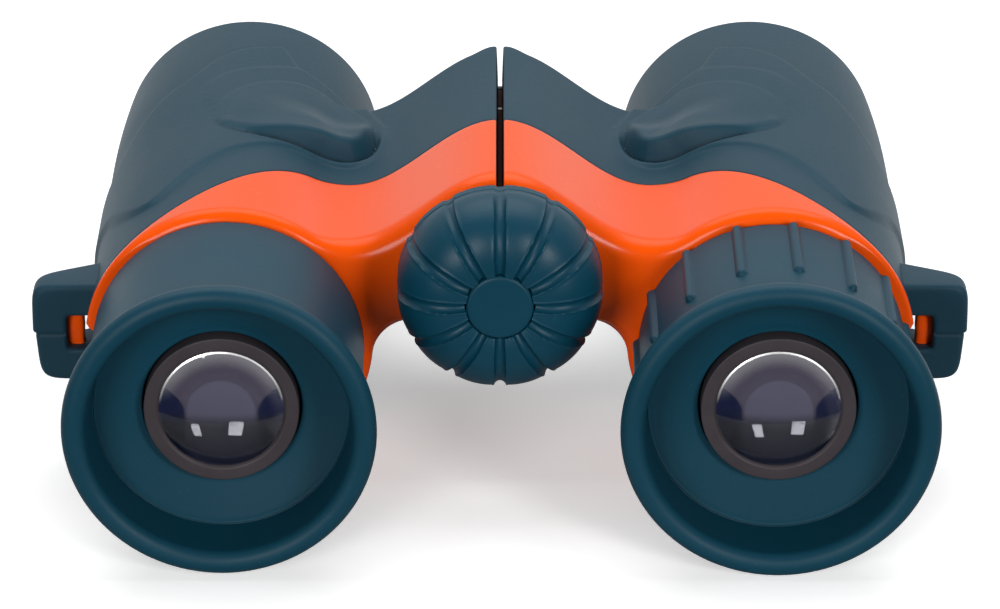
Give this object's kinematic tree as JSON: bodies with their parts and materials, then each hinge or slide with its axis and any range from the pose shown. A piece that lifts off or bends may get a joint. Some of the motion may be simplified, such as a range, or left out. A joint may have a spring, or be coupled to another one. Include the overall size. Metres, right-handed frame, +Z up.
{
  "type": "toy binoculars",
  "caption": "Folding roof-prism binoculars for children, with orange shells, dark teal rubber armour, a centre focus knob, a diopter eyepiece and strap lugs.",
  "frame": {"origin": "on the table plane under the middle of the part", "axes": "+X from the left to the right eyepiece, +Y forward to the objectives, +Z up"},
  "size_m": [0.1108, 0.09, 0.0403],
  "materials": {
    "orange_shell": "smooth moulded plastic, glossy",
    "teal_armour": "matte moulded rubber",
    "teal_rubber": "matte moulded rubber",
    "black_plastic": "matte moulded plastic",
    "lens_glass": "polished glass with a faint coating",
    "steel": "turned",
    "brass": "turned"
  },
  "bodies": {
    "left_half": {"left_housing": "orange_shell", "left_armour": "teal_armour", "left_eyecup": "teal_rubber", "left_eyepiece_tube": "black_plastic", "left_ocular_cell": "black_plastic", "left_eye_lens": "lens_glass", "left_field_lens": "lens_glass", "left_lens_spacer": "black_plastic", "left_eye_retainer": "black_plastic", "left_prism_cage": "black_plastic", "left_front_prism": "lens_glass", "left_roof_prism": "lens_glass", "hinge_rear_bush": "steel", "hinge_front_bush": "steel", "friction_washers": "steel", "hinge_cap": "teal_armour"},
    "right_half": {"right_housing": "orange_shell", "right_armour": "teal_armour", "right_prism_cage": "black_plastic", "right_front_prism": "lens_glass", "right_roof_prism": "lens_glass"},
    "right_ocular": {"right_ocular_cell": "black_plastic", "right_eye_lens": "lens_glass", "right_field_lens": "lens_glass", "right_lens_spacer": "black_plastic", "right_eye_retainer": "black_plastic"},
    "right_diopter": {"right_diopter_tube": "black_plastic", "right_eyecup": "teal_rubber"},
    "focus_drive": {"focus_screw": "steel", "knob_core": "black_plastic", "knob_grip": "teal_rubber", "knob_cap": "teal_rubber", "knob_screw": "steel"},
    "focus_slider": {"focus_nut": "brass"},
    "left_objective": {"left_objective_cell": "black_plastic", "left_objective_lens": "lens_glass", "left_objective_retainer": "black_plastic", "left_focus_arm": "brass"},
    "right_objective": {"right_objective_cell": "black_plastic", "right_objective_lens": "lens_glass", "right_objective_retainer": "black_plastic", "right_focus_arm": "brass"}
  },
  "joints": [
    {"name": "interpupillary_hinge", "type": "hinge", "parent": "left_half", "child": "right_half", "pos_m": [0, 0, 0.0283], "axis": [0, 1, 0], "range_deg": [-3.5, 32]},
    {"name": "focus_turn", "type": "hinge", "parent": "left_half", "child": "focus_drive", "pos_m": [0, 0, 0.0283], "axis": [0, 1, 0], "range_deg": [-180, 180]},
    {"name": "nut_travel", "type": "slide", "parent": "left_half", "child": "focus_slider", "axis": [0, 1, 0], "range_m": [-0.0015, 0.0015]},
    {"name": "left_focus_travel", "type": "slide", "parent": "left_half", "child": "left_objective", "axis": [0, 1, 0], "range_m": [-0.0015, 0.0015]},
    {"name": "right_focus_travel", "type": "slide", "parent": "right_half", "child": "right_objective", "axis": [0, 1, 0], "range_m": [-0.0015, 0.0015]},
    {"name": "diopter_travel", "type": "slide", "parent": "right_half", "child": "right_ocular", "axis": [0, -1, 0], "range_m": [0, 0.002]},
    {"name": "diopter_turn", "type": "hinge", "parent": "right_ocular", "child": "right_diopter", "pos_m": [0.032, 0, 0.0183], "axis": [0, -1, 0], "range_deg": [0, 120]}
  ],
  "couplings": [
    {"joint": "nut_travel", "follows": "focus_turn", "m_per_rad": 0.00047746},
    {"joint": "left_focus_travel", "follows": "focus_turn", "m_per_rad": 0.00047746},
    {"joint": "right_focus_travel", "follows": "focus_turn", "m_per_rad": 0.00047746},
    {"joint": "diopter_travel", "follows": "diopter_turn", "m_per_rad": 0.00095493}
  ]
}
